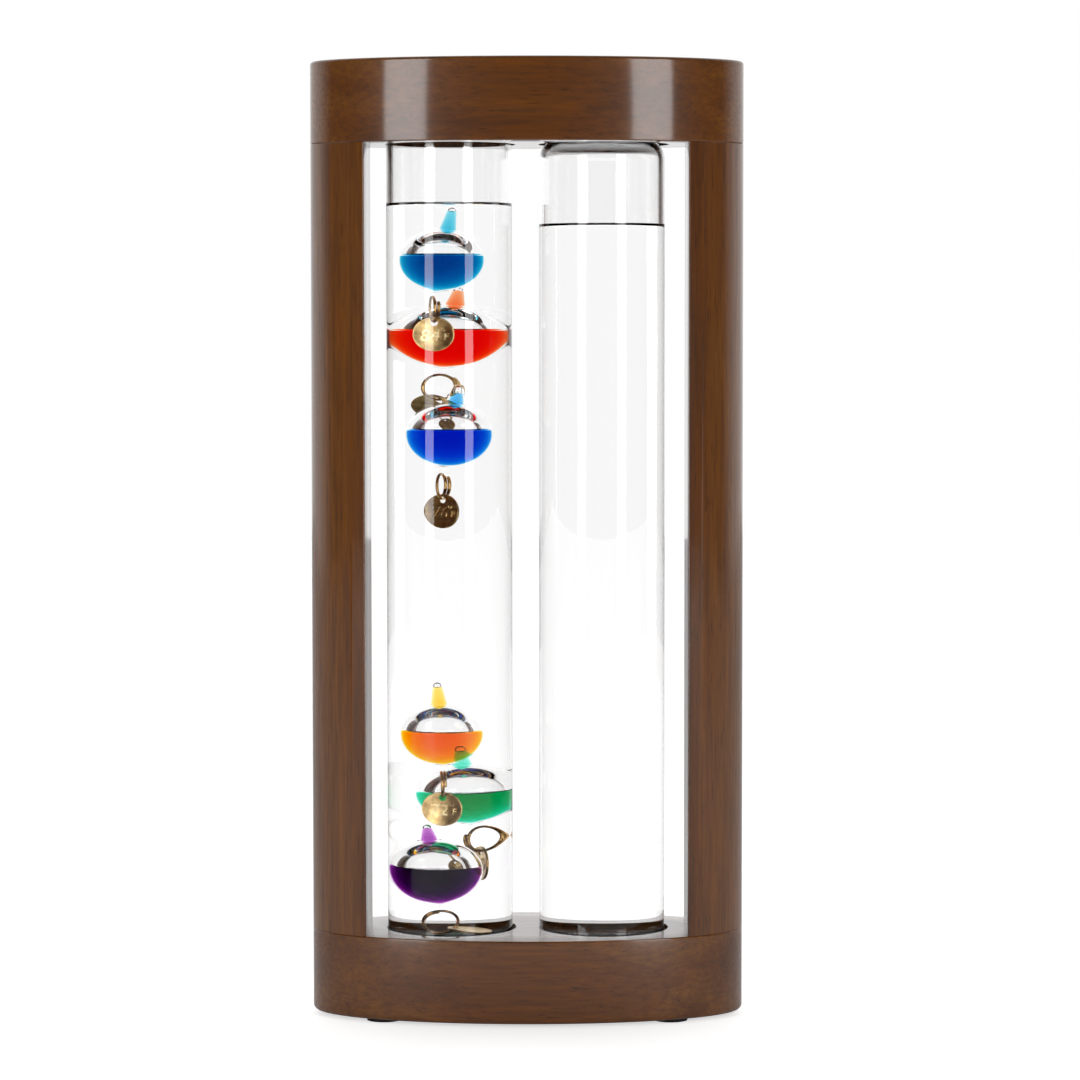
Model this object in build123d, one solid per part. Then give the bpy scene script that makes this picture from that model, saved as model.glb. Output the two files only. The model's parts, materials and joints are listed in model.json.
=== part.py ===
from build123d import *
import os
from dataclasses import dataclass
from math import acos, cos, degrees, radians, sin

# A galileo thermometer and a storm glass side by side in a bow-fronted wooden frame.
# Millimetres, +Z up, origin under the middle of the feet, the front faces -Y.

# Wooden frame
FRAME_WIDTH = 127.0
FRAME_DEPTH = 56.0
FRAME_HEIGHT = 279.4
BOTTOM_BLOCK_HEIGHT = 24.4
TOP_BLOCK_HEIGHT = 24.1
STILE_WIDTH = 16.6
TOP_EDGE_RADIUS = 1.0
BOTTOM_EDGE_RADIUS = 1.7
ARRIS = 0.4

# Dowels, two in each joint between a stile and a block
DOWEL_DIAMETER = 6.0
DOWEL_LENGTH = 24.0
DOWEL_SPACING = 16.0
DOWEL_CLEARANCE = 0.02
DOWEL_END_GAP = 0.5

# Felt feet
FOOT_DIAMETER = 10.0
FOOT_THICKNESS = 1.0
FOOT_SPACING_X = 84.0
FOOT_SPACING_Y = 26.0

# Sockets and what sits in them
SOCKET_PITCH = 45.0
SOCKET_DIAMETER = 38.2
TOP_SOCKET_DEPTH = 16.0
SOCKET_MOUTH_CHAMFER = 0.3
PLUG_HEIGHT = 15.0
PLUG_CLEARANCE = 0.05
CORK_THICKNESS = 5.0
CORK_DIAMETER = 36.0
PAD_DIAMETER = 37.0
PAD_CLEARANCE = 0.1

# Glass tubes, each a little off the middle of its socket
TUBE_DIAMETER = 37.0
TUBE_WALL = 1.6
TUBE_BASE = 3.2
TUBE_FOOT_RADIUS = 3.0
TUBE_FOOT_INNER_RADIUS = 6.0
TUBE_SHOULDER_RADIUS = 7.0
TUBE_CROWN = 1.5
THERMOMETER_TUBE_LENGTH = 247.0
STORM_TUBE_LENGTH = 239.0
THERMOMETER_SHIFT = -0.4
STORM_SHIFT = -0.5
THERMOMETER_LEVEL = 217.2
STORM_LEVEL = 206.1
LIQUID_CLEARANCE = 0.05

# Globes: glass, dye, neck and the eye that the ring hangs in
GLOBE_WALL = 0.45
GLOBE_TIP = 1.09
NECK_BASE_RADIUS = 1.6
NECK_TIP_RADIUS = 0.95
NECK_WALL = 0.4
NECK_FLARE = 1.2
NECK_ROOT = 0.4
BUBBLE_RADIUS = 0.6
DYE_CLEARANCE = 0.03
EYE_DROP = 2.75
EYE_HOLE_RADIUS = 0.8
EYE_WIRE_RADIUS = 0.4
EYE_SLACK = 0.2
WALL_CLEARANCE = 0.3

# Wire rings and stamped tags
RING_DIAMETER = 8.0
RING_WIRE = 0.7
RING_TURNS = 1.25
RING_PITCH = 0.8
TAG_DIAMETER = 10.0
TAG_THICKNESS = 0.5
TAG_EDGE = 0.08
TAG_HOLE_DIAMETER = 1.9
TAG_HOLE_OFFSET = 3.3
TAG_SLACK = 0.3


@dataclass
class Globe:
    """One globe, named by its number, and how it and what hangs on it lie at rest."""

    number: str
    radius: float        # inside of the glass
    neck: float          # length of the neck above the sphere
    room_share: float    # how far off the tube's axis, as a share of the room beside it
    bearing: float       # direction of that offset, from +X
    gap: float           # height left between this sphere and the one that it is stacked on
    lean_right: float    # how far the neck leans to +X, in degrees
    lean_back: float     # how far the neck leans to +Y
    fill: float          # dye level above the sphere's centre
    ring_bearing: float  # direction of the ring's plane, from +X
    ring_roll: float     # how far the ring has rolled in its own plane
    ring_tilt: float     # how far the ring leans out of its plane
    seam: float          # where the wire's ends overlap, from the ring's own +X
    hook: float          # where the tag hangs, along the ring from its lowest point
    tag_bearing: float   # direction that the tag's face turns to, from -Y towards +X
    tag_roll: float      # how far the tag swings in its own plane
    tag_tilt: float      # how far the tag leans out of its plane


# Listed from the surface down. The floating ones hang from the surface, and gap is to the globe above.
FLOATING = [
    Globe("84", 8.6, 6.9, 0.23, 207, 0.0, 8.5, 6, 1.2, 75, 26, 0, 14, 0, -25, 0, 0),
    Globe("80", 8.8, 5.6, 0.97, 93, 4.8, 7.5, 0, 1.5, 37, 0, 5, 0, 0, -47, 22, 27),
    Globe("76", 8.9, 5.6, 0.20, 270, 11.2, 8.5, 0, 1.2, 72, 0, 0, 0, 0, -44, 0, 0),
]
# Listed from the bottom up. The sunk ones stand on each other, and gap is to the globe below.
SUNK = [
    Globe("64", 9.0, 5.0, 0.46, 159, 0.0, -7, 0, 0.7, -10, 0, -34, 150, 58, -100, 0, 80),
    Globe("68", 8.3, 6.3, 0.97, 70, 5.1, -6, 8, 0.3, 54, -43, 0, 160, 0, -64, 0, 0),
    Globe("72", 8.5, 7.0, 0.28, 214, 1.5, -3, 9, 0.7, 91, 22, 0, 160, 0, -25, 0, 0),
]
LOWEST_GLOBE_STAND = 9.4

# Worked out from the sizes above
HALF_WIDTH = FRAME_WIDTH / 2
HALF_DEPTH = FRAME_DEPTH / 2
WINDOW_WIDTH = FRAME_WIDTH - 2 * STILE_WIDTH
FLOOR_Z = FOOT_THICKNESS + BOTTOM_BLOCK_HEIGHT
TOP_Z = FOOT_THICKNESS + FRAME_HEIGHT
CEILING_Z = TOP_Z - TOP_BLOCK_HEIGHT
STILE_CENTRE = HALF_WIDTH - STILE_WIDTH / 2
TUBE_BOTTOM_Z = FOOT_THICKNESS + PLUG_HEIGHT + CORK_THICKNESS
SOCKET_ROOF_Z = CEILING_Z + TOP_SOCKET_DEPTH
TUBE_RADIUS = TUBE_DIAMETER / 2
BORE_RADIUS = TUBE_RADIUS - TUBE_WALL
THERMOMETER_X = -SOCKET_PITCH / 2 + THERMOMETER_SHIFT
STORM_X = SOCKET_PITCH / 2 + STORM_SHIFT
TUBE_FLOOR_Z = TUBE_BOTTOM_Z + TUBE_BASE
RING_RADIUS = (RING_DIAMETER - RING_WIRE) / 2
TAG_DROP = TAG_HOLE_OFFSET + TAG_HOLE_DIAMETER / 2 - RING_WIRE / 2 - TAG_SLACK


def revolved(profile):
    """Turns a flat profile, drawn as radius and height, about the Z axis."""
    return revolve(Plane.XZ * profile, Axis.Z)


# Woodwork
def bow_block(bottom, height, rounded, rounded_edge, window_edge):
    """An elliptical block with one rounded outer edge, and a fine arris along the window."""
    plain = Pos(0, 0, bottom) * extrude(Ellipse(HALF_WIDTH, HALF_DEPTH), height)
    plain = fillet(plain.edges().sort_by(Axis.Z)[rounded_edge], rounded)
    eased = fillet(plain.edges().sort_by(Axis.Z)[window_edge], ARRIS)
    middle = Pos(0, 0, bottom + height / 2) * Box(WINDOW_WIDTH, FRAME_DEPTH, height)
    return (plain - middle) + (eased & middle)


def stile(side):
    """The upright on one side, a slice of the same ellipse."""
    height = CEILING_Z - FLOOR_Z
    column = Pos(0, 0, FLOOR_Z) * extrude(Ellipse(HALF_WIDTH, HALF_DEPTH), height)
    slab = Pos(side * STILE_CENTRE, 0, FLOOR_Z + height / 2) * Box(STILE_WIDTH, FRAME_DEPTH, height)
    upright = column & slab
    tall = upright.edges().group_by(SortBy.LENGTH)[-1]
    inner = tall.sort_by(lambda edge: side * edge.center().X)[:2]
    return fillet(inner, ARRIS)


def dowel_places():
    """The middle of each dowel, on the joint that it crosses."""
    return [
        (side * STILE_CENTRE, row * DOWEL_SPACING / 2, joint)
        for joint in (FLOOR_Z, CEILING_Z)
        for side in (-1, 1)
        for row in (-1, 1)
    ]


def dowels(radius, length):
    return [Pos(*place) * Cylinder(radius, length) for place in dowel_places()]


def bored(piece):
    """A piece of wood with the dowel holes that meet it."""
    holes = dowels(DOWEL_DIAMETER / 2 + DOWEL_CLEARANCE, DOWEL_LENGTH + 2 * DOWEL_END_GAP)
    return piece - holes


def socket(side, bottom, depth, mouth):
    """A bore for one tube, with its mouth eased at the height given."""
    radius = SOCKET_DIAMETER / 2
    x = side * SOCKET_PITCH / 2
    bore = Pos(x, 0, bottom + depth / 2) * Cylinder(radius, depth)
    ease = SOCKET_MOUTH_CHAMFER
    upward = 1 if mouth > bottom else -1
    wide, narrow = radius + ease, radius
    low, high = (narrow, wide) if upward > 0 else (wide, narrow)
    cone = Pos(x, 0, mouth - upward * ease / 2) * Cone(low, high, ease)
    return bore + cone


def feet():
    return [
        Pos(x * FOOT_SPACING_X / 2, y * FOOT_SPACING_Y / 2, FOOT_THICKNESS / 2)
        * Cylinder(FOOT_DIAMETER / 2, FOOT_THICKNESS)
        for x in (-1, 1)
        for y in (-1, 1)
    ]


def base_plug(side):
    """The turned plug that closes one bore, with a small chamfer at its lower rim."""
    radius = SOCKET_DIAMETER / 2 - PLUG_CLEARANCE
    plug = Pos(side * SOCKET_PITCH / 2, 0, FOOT_THICKNESS + PLUG_HEIGHT / 2) * Cylinder(radius, PLUG_HEIGHT)
    return chamfer(plug.edges().group_by(Axis.Z)[0], ARRIS)


def base_cushion(x):
    middle = FOOT_THICKNESS + PLUG_HEIGHT + CORK_THICKNESS / 2
    return Pos(x, 0, middle) * Cylinder(CORK_DIAMETER / 2, CORK_THICKNESS)


def top_cushion(x, tube_length):
    """The foam pad between a tube's crown and the roof of its socket."""
    low = TUBE_BOTTOM_Z + tube_length + PAD_CLEARANCE
    thickness = SOCKET_ROOF_Z - low
    return Pos(x, 0, low + thickness / 2) * Cylinder(PAD_DIAMETER / 2, thickness)


# Glass tubes and what fills them
def tube_form(radius, bottom, top, foot, shoulder):
    """A closed tube: flat foot, straight wall, rounded shoulder and a shallow crown."""
    crown_radius = (radius**2 + TUBE_CROWN**2) / (2 * TUBE_CROWN)
    spring = top - TUBE_CROWN
    outline = [
        Line((0, bottom), (radius, bottom)),
        Line((radius, bottom), (radius, spring)),
        CenterArc((0, top - crown_radius), crown_radius, 90, -90 + crown_angle(radius, crown_radius)),
        Line((0, top), (0, bottom)),
    ]
    profile = make_face(outline)
    corners = profile.vertices().filter_by(lambda v: v.X > radius / 2).sort_by(Axis.Y)
    profile = fillet(corners[0], foot)
    corners = profile.vertices().filter_by(lambda v: v.X > radius / 2).sort_by(Axis.Y)
    profile = fillet(corners[-1], shoulder)
    return revolved(profile)


def crown_angle(radius, crown_radius):
    """The angle above the horizontal at which the crown's arc meets the wall."""
    return degrees(acos(radius / crown_radius))


def tube_inside(length, clearance=0.0):
    """The space inside a tube, drawn in by a clearance for what fills it."""
    top = TUBE_BOTTOM_Z + length - TUBE_WALL
    shoulder = TUBE_SHOULDER_RADIUS - TUBE_WALL
    radius = BORE_RADIUS - clearance
    return tube_form(radius, TUBE_FLOOR_Z + clearance, top - clearance, TUBE_FOOT_INNER_RADIUS, shoulder)


def glass_tube(x, length):
    top = TUBE_BOTTOM_Z + length
    outside = tube_form(TUBE_RADIUS, TUBE_BOTTOM_Z, top, TUBE_FOOT_RADIUS, TUBE_SHOULDER_RADIUS)
    return Pos(x, 0, 0) * (outside - tube_inside(length))


def liquid_column(x, length, level):
    """The liquid in a tube, up to its level above the tube's own bottom."""
    inside = Pos(x, 0, 0) * tube_inside(length, LIQUID_CLEARANCE)
    headroom = length - level
    above = Pos(x, 0, TUBE_BOTTOM_Z + level + headroom / 2) * Cylinder(TUBE_RADIUS, headroom)
    return inside - above


# Globes
def globe_form(radius, neck_base, neck_tip, neck_top):
    """A sphere with a pointed bottom and a tapered, rounded neck that flares into it."""
    tip = radius * GLOBE_TIP
    tangent = radius / tip
    side = radius * (1 - tangent**2) ** 0.5
    sphere = Circle(radius)
    point = Polygon((-side, -radius * tangent), (0, -tip), (side, -radius * tangent), align=None)
    shoulder = neck_top - neck_tip
    neck = Polygon(
        (-neck_base, 0), (neck_base, 0), (neck_tip, shoulder), (-neck_tip, shoulder), align=None
    )
    cap = Pos(0, shoulder) * Circle(neck_tip)
    profile = sphere + point + neck + cap
    root = [v for v in profile.vertices() if radius / 2 < v.Y < radius + 1]
    profile = fillet(root, NECK_FLARE)
    half = Pos(radius, 0) * Rectangle(2 * radius, 4 * neck_top)
    return revolved(profile & half)


def globe_outside(globe):
    return globe_form(
        globe.radius + GLOBE_WALL,
        NECK_BASE_RADIUS + NECK_WALL,
        NECK_TIP_RADIUS + NECK_WALL,
        globe.radius + globe.neck + NECK_WALL,
    )


def globe_inside(globe, clearance=0.0):
    return globe_form(
        globe.radius - clearance,
        NECK_BASE_RADIUS - clearance,
        NECK_TIP_RADIUS - clearance,
        globe.radius + globe.neck - clearance,
    )


def globe_eye(globe):
    """The small glass loop under a globe, turned half of the way that its ring has rolled."""
    centre = Pos(0, 0, -globe.radius - EYE_DROP + EYE_SLACK)
    turn = Rot(0, 0, globe.ring_bearing) * Rot(0, 90 + globe.ring_roll / 2, 0)
    return centre * turn * Torus(EYE_HOLE_RADIUS + EYE_WIRE_RADIUS, EYE_WIRE_RADIUS)


def globe_glass(globe, place):
    return place * (globe_outside(globe) - globe_inside(globe) + globe_eye(globe))


def globe_dye(globe, place):
    """The dye in the bulb up to its own level, and the dye held in the neck under a bubble."""
    inside = place * globe_inside(globe, DYE_CLEARANCE)
    span = 4 * globe.radius
    level = place.position.Z + globe.fill
    below = Pos(place.position.X, place.position.Y, level - span / 2) * Box(span, span, span)
    root = globe.radius + NECK_ROOT
    beyond = place * Pos(0, 0, root + span / 2) * Box(span, span, span)
    bubble = place * Pos(0, 0, globe.radius + globe.neck - BUBBLE_RADIUS - DYE_CLEARANCE)
    held = (inside & beyond) - bubble * Sphere(BUBBLE_RADIUS)
    return Compound([inside & below, held])


# Rings and tags
def ring_form(seam):
    """A wire ring of more than one turn, standing in its own XZ plane."""
    rise = RING_PITCH * RING_TURNS
    overlap = 360 * (RING_TURNS - 1)
    path = Helix(RING_PITCH, rise, RING_RADIUS)
    section = (path ^ 0) * Circle(RING_WIRE / 2)
    wire = sweep(section, path, is_frenet=True)
    flat = Rot(0, 0, seam - overlap / 2) * Pos(0, 0, -rise / 2)
    return Rot(90, 0, 0) * flat * wire


def tag_form():
    """A round tag, facing -Y, with its hole above its middle."""
    disc = Rot(90, 0, 0) * Cylinder(TAG_DIAMETER / 2, TAG_THICKNESS)
    disc = fillet(disc.edges().filter_by(GeomType.CIRCLE), TAG_EDGE)
    hole = Pos(0, 0, TAG_HOLE_OFFSET) * Rot(90, 0, 0) * Cylinder(TAG_HOLE_DIAMETER / 2, 2 * TAG_THICKNESS)
    return disc - hole


def globe_place(globe, height):
    """Where a globe's centre lies, and how it leans."""
    room = BORE_RADIUS - globe.radius - GLOBE_WALL - WALL_CLEARANCE
    off = room * globe.room_share
    turn = radians(globe.bearing)
    centre = Pos(THERMOMETER_X + off * cos(turn), off * sin(turn), height)
    return centre * Rot(-globe.lean_back, 0, 0) * Rot(0, globe.lean_right, 0)


def wire_offset(globe, angle):
    """How far the ring's wire lies from the ring's middle plane at an angle round the ring."""
    turned = (angle - globe.seam + 180 * (RING_TURNS - 1)) % 360
    return RING_PITCH * (RING_TURNS / 2 - turned / 360)


def hanging(globe, place):
    """The places of the ring and of the tag that hang under a globe, and the points that they swing about."""
    eye = (place * Pos(0, 0, -globe.radius - EYE_DROP)).position
    upright = Pos(*eye) * Rot(0, 0, globe.ring_bearing) * Rot(globe.ring_tilt, 0, 0)
    ring = upright * Rot(0, globe.ring_roll, 0) * Pos(0, -wire_offset(globe, 90), -RING_RADIUS)
    angle = globe.ring_roll + globe.hook - 90
    turn = radians(angle)
    hook = ring * Pos(RING_RADIUS * cos(turn), wire_offset(globe, angle), RING_RADIUS * sin(turn))
    along = ring * Pos(-sin(turn), 0, cos(turn))
    tag = Pos(*hook.position) * Rot(0, 0, globe.tag_bearing) * Rot(globe.tag_tilt, 0, 0)
    tag = tag * Rot(0, globe.tag_roll, 0) * Pos(0, 0, -TAG_DROP)
    return {
        "eye": eye,
        "eye_axis": (Rot(0, 0, globe.ring_bearing) * Pos(1, 0, 0)).position,
        "hook": hook.position,
        "hook_axis": along.position - ring.position,
        "ring": ring,
        "tag": tag,
    }


def globe_heights():
    """The height of each globe's centre: the floating ones from the surface down, the sunk ones from the floor up."""
    heights = {}
    above = None
    for globe in FLOATING:
        if above is None:
            reach = globe.radius + globe.neck + NECK_WALL
            lean = cos(radians(globe.lean_right)) * cos(radians(globe.lean_back))
            heights[globe.number] = TUBE_BOTTOM_Z + THERMOMETER_LEVEL - reach * lean
        else:
            heights[globe.number] = heights[above.number] - above.radius - globe.radius - globe.gap
        above = globe
    below = None
    for globe in SUNK:
        if below is None:
            heights[globe.number] = TUBE_FLOOR_Z + globe.radius + LOWEST_GLOBE_STAND
        else:
            heights[globe.number] = heights[below.number] + below.radius + globe.radius + globe.gap
        below = globe
    return heights


def liquid_round(column, globes):
    """The liquid with room left in it for each globe, its ring and its tag."""
    for globe, place in globes:
        hung = hanging(globe, place)
        reach = RING_WIRE / 2 + LIQUID_CLEARANCE
        half_rise = RING_PITCH * RING_TURNS / 2 + reach
        washer = Cylinder(RING_RADIUS + reach, 2 * half_rise) - Cylinder(RING_RADIUS - reach, 2 * half_rise)
        disc = Cylinder(TAG_DIAMETER / 2 + LIQUID_CLEARANCE, TAG_THICKNESS + 2 * LIQUID_CLEARANCE)
        column = column - place * (globe_outside(globe) + globe_eye(globe))
        column = column - hung["ring"] * Rot(90, 0, 0) * washer
        column = column - hung["tag"] * Rot(90, 0, 0) * disc
    return column


PARTS = {}


def build():
    """Makes every piece, under the name of its node."""
    top = bow_block(CEILING_Z, TOP_BLOCK_HEIGHT, TOP_EDGE_RADIUS, -1, 0)
    bottom = bow_block(FOOT_THICKNESS, BOTTOM_BLOCK_HEIGHT, BOTTOM_EDGE_RADIUS, 0, -1)
    for side in (-1, 1):
        top = top - socket(side, CEILING_Z, TOP_SOCKET_DEPTH, CEILING_Z)
        bottom = bottom - socket(side, FOOT_THICKNESS, BOTTOM_BLOCK_HEIGHT, FLOOR_Z)
    PARTS["top_block"] = bored(top)
    PARTS["bottom_block"] = bored(bottom)
    PARTS["left_stile"] = bored(stile(-1))
    PARTS["right_stile"] = bored(stile(1))
    PARTS["frame_dowels"] = Compound(dowels(DOWEL_DIAMETER / 2, DOWEL_LENGTH))
    PARTS["felt_feet"] = Compound(feet())

    sides = {
        "left": (-1, THERMOMETER_X, THERMOMETER_TUBE_LENGTH),
        "right": (1, STORM_X, STORM_TUBE_LENGTH),
    }
    for name, (side, x, length) in sides.items():
        PARTS[f"{name}_base_plug"] = base_plug(side)
        PARTS[f"{name}_base_cushion"] = base_cushion(x)
        PARTS[f"{name}_top_cushion"] = top_cushion(x, length)
    PARTS["thermometer_tube"] = glass_tube(THERMOMETER_X, THERMOMETER_TUBE_LENGTH)
    PARTS["storm_tube"] = glass_tube(STORM_X, STORM_TUBE_LENGTH)
    PARTS["storm_liquid"] = liquid_column(STORM_X, STORM_TUBE_LENGTH, STORM_LEVEL)

    heights = globe_heights()
    globes = [(globe, globe_place(globe, heights[globe.number])) for globe in FLOATING + SUNK]
    for globe, place in globes:
        hung = hanging(globe, place)
        PARTS[f"globe_{globe.number}"] = globe_glass(globe, place)
        PARTS[f"dye_{globe.number}"] = globe_dye(globe, place)
        PARTS[f"ring_{globe.number}"] = hung["ring"] * ring_form(globe.seam)
        PARTS[f"tag_{globe.number}"] = hung["tag"] * tag_form()
    column = liquid_column(THERMOMETER_X, THERMOMETER_TUBE_LENGTH, THERMOMETER_LEVEL)
    PARTS["thermometer_liquid"] = liquid_round(column, globes)
    return globes


GLOBES = build()
os.makedirs("parts", exist_ok=True)
for node, shape in PARTS.items():
    export_step(shape, f"parts/{node}.step")
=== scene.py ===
import json
import math
from collections import namedtuple

import bmesh
import bpy
from mathutils import Matrix, Vector


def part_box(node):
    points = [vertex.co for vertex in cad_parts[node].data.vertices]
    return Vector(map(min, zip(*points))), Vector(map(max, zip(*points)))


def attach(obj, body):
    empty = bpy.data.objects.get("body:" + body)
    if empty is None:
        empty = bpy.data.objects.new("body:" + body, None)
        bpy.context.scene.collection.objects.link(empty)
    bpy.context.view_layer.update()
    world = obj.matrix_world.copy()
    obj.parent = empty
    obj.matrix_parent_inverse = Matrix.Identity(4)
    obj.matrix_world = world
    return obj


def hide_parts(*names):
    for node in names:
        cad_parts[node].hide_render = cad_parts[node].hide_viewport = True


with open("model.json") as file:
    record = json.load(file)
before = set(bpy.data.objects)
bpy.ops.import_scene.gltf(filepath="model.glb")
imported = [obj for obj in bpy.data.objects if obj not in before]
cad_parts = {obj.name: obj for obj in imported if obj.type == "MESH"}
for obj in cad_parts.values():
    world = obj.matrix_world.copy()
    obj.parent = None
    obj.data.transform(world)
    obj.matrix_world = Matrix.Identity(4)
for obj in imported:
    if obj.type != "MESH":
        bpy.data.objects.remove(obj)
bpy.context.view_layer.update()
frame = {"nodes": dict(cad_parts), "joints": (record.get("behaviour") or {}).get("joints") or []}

# Lengths are in mm where nothing else is said
MM = 0.001
scene = bpy.context.scene


def mm(*values):
    return Vector([value * MM for value in values])


# Camera, at the photograph's viewing angle
CAMERA_AT = mm(11.28, -1118.97, 203.41)
CAMERA_LOOK = Vector((-0.0067, 0.9984, -0.0564))
CAMERA_ROLL = 0.0008
CAMERA_LENS = 126.7
SENSOR_WIDTH = 36
camera_data = bpy.data.cameras.new("camera")
camera_data.lens = CAMERA_LENS
camera_data.sensor_width = SENSOR_WIDTH
camera = bpy.data.objects.new("camera", camera_data)
scene.collection.objects.link(camera)
camera.rotation_mode = "QUATERNION"
camera.rotation_quaternion = CAMERA_LOOK.to_track_quat("-Z", "Y")
camera.rotation_quaternion = (
    Matrix.Rotation(CAMERA_ROLL, 4, CAMERA_LOOK) @ camera.rotation_quaternion.to_matrix().to_4x4()
).to_quaternion()
camera.location = CAMERA_AT
scene.camera = camera

# Sizes that the CAD model has too: the frame
FRAME_A = 63.5
FRAME_B = 28.0
STILE_WIDTH = 16.6
WINDOW_HALF = FRAME_A - STILE_WIDTH
TOP_EDGE = 1.0
BOTTOM_EDGE = 1.7
ARRIS = 0.4
SOCKET_X = 22.5
SOCKET_RADIUS = 19.1
SOCKET_DEPTH = 16.0
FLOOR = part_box("bottom_block")[1].z / MM
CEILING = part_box("top_block")[0].z / MM
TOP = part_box("top_block")[1].z / MM
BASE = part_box("bottom_block")[0].z / MM

# Sizes that the CAD model has too: the tubes
TUBE_WALL = 1.6
TUBE_BASE = 3.2
TUBE_FOOT = 3.0
TUBE_INNER_FOOT = 6.0
TUBE_SHOULDER = 7.0
TUBE_CROWN = 1.5
BORE_RADIUS = 16.9

# Sizes that the CAD model has too: the globes, the rings and the tags
GLOBE_WALL = 0.45
NECK_BASE = 1.6
NECK_FLARE = 1.2
NECK_GLASS = 0.4
EYE_DROP = 2.75
EYE_SLACK = 0.2
EYE_RADIUS = 1.2
EYE_WIRE = 0.4
RING_RADIUS = 3.65
RING_WIRE = 0.35
RING_TURNS = 1.25
RING_PITCH = 0.8
TAG_RADIUS = 5.0
TAG_THICKNESS = 0.5
TAG_HOLE_RADIUS = 0.95
TAG_HOLE_OFFSET = 3.3
TAG_DROP = 3.6

# Liquids: how high each stands, and how its rim is drawn up
THERMOMETER_LEVEL = 238.2
STORM_LEVEL = 232.1
LIQUID_CLEARANCE = 0.01
MENISCUS = 0.9
MENISCUS_SPREAD = 0.7
MENISCUS_REACH = 5
MENISCUS_CROWDING = 1.6
DYE_CLEARANCE = 0.02
DYE_MENISCUS = 0.55
DYE_MENISCUS_SPREAD = 0.45
DYE_MENISCUS_REACH_SHARE = 0.55
DYE_MENISCUS_CROWDING = 1.8

# Globes: the blunt point at the bottom, the ends of the neck, and the gap over its bubble
POINT_RADIUS = 0.25
POINT_LOW = 0.25
POINT_HIGH = 0.3
NECK_TIP_OUTSIDE = 1.35
NECK_TIP_INSIDE = 0.93
BUBBLE_GAP = 0.05

# Tags: the rim, the field inside it, and what stands on the field
TAG_FIELD_DEPTH = 0.06
TAG_RIM_INNER = 0.55
TAG_RIM_OUTER = 0.42
TAG_EASE = 0.1
RELIEF = 0.08
RELIEF_EDGE = 0.05
SLANT = 0.15
NUMBER_SIZE = 4.7
NUMBER_AT = (-1.0, -0.5)
LETTER_SIZE = 2.6
LETTER_AT = (2.9, -0.8)
DEGREE_AT = (2.3, 1.3)
DEGREE_RADIUS = 0.42
DEGREE_WIRE = 0.13

# Light, and the floor that it falls on, with places and sizes in metres
FLOOR_CORNERS = ((-2, -1.2), (2, -1.2), (2, 2.5), (-2, 2.5))
FLOOR_GLOW = 0.62
SOFTBOX_DISTANCE = 1.0
SOFTBOX_ELEVATION = 0.25
SOFTBOX_SIZE = (0.28, 1.0)
SOFTBOX_RADIANCE = 6.0
SOFTBOX_AZIMUTHS = {"softbox_left": -36, "softbox_right": 37}
SOFTBOX_AIM = Vector((0, 0, 0.14))
DARK_FRONT = 0.02
DARK_ENDS_AT = -0.08
WHITE_STARTS_AT = 0.3

# How fine round forms are
BLOCK_SEGMENTS = 320
SOCKET_SEGMENTS = 192
TUBE_SEGMENTS = 256
GLOBE_SEGMENTS = 96
SMALL_SEGMENTS = 48
RING_STEPS = 170
RIM_SHARP_ANGLE = 50
TAG_SHARP_ANGLE = 32


# Mesh helpers
def new_object(name, bm, smooth_angle):
    """Turns a bmesh into an object, smooth below an angle in degrees. 0 leaves its shading as it is."""
    mesh = bpy.data.meshes.new(name)
    bm.to_mesh(mesh)
    bm.free()
    obj = bpy.data.objects.new(name, mesh)
    scene.collection.objects.link(obj)
    if smooth_angle:
        smooth(obj, smooth_angle)
    return obj


def smooth(obj, angle):
    obj.data.shade_smooth()
    obj.data.set_sharp_from_angle(angle=math.radians(angle))


def skin(bm, rings, flip=False, slot=0):
    """Joins rings of vertices by faces. A ring of one vertex is a pole."""
    segments = max(len(ring) for ring in rings)
    for low, high in zip(rings, rings[1:]):
        for index in range(segments):
            following = (index + 1) % segments
            if len(low) == 1:
                corners = [low[0], high[following], high[index]]
            elif len(high) == 1:
                corners = [low[index], low[following], high[0]]
            else:
                corners = [low[index], low[following], high[following], high[index]]
            if flip:
                corners.reverse()
            face = bm.faces.new(corners)
            face.material_index = slot
            face.smooth = True


def lathe(bm, profile, segments, matrix, flip=False, slot=0):
    """Revolves a profile of (radius, height) points; a radius of 0 is a pole."""
    rings = []
    for radius, height in profile:
        if radius < 1e-6:
            rings.append([bm.verts.new(matrix @ mm(0, 0, height))])
            continue
        ring = []
        for index in range(segments):
            turn = 2 * math.pi * index / segments
            ring.append(bm.verts.new(matrix @ mm(radius * math.cos(turn), radius * math.sin(turn), height)))
        rings.append(ring)
    skin(bm, rings, flip, slot)


def torus(bm, place, major, minor, around=40, sides=14):
    rings = []
    for index in range(around):
        turn = 2 * math.pi * index / around
        ring = []
        for side in range(sides):
            angle = 2 * math.pi * side / sides
            reach = major + minor * math.cos(angle)
            point = mm(reach * math.cos(turn), reach * math.sin(turn), minor * math.sin(angle))
            ring.append(bm.verts.new(place @ point))
        rings.append(ring)
    for index in range(around):
        low, high = rings[index], rings[(index + 1) % around]
        for side in range(sides):
            following = (side + 1) % sides
            bm.faces.new([low[side], high[side], high[following], low[following]])


def prism(bm, rings):
    """Joins rings of vertices by walls, and closes both ends."""
    for lower, upper in zip(rings, rings[1:]):
        for index in range(len(lower)):
            following = (index + 1) % len(lower)
            bm.faces.new([lower[index], lower[following], upper[following], upper[index]])
    bm.faces.new(list(reversed(rings[0])))
    bm.faces.new(rings[-1])


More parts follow.
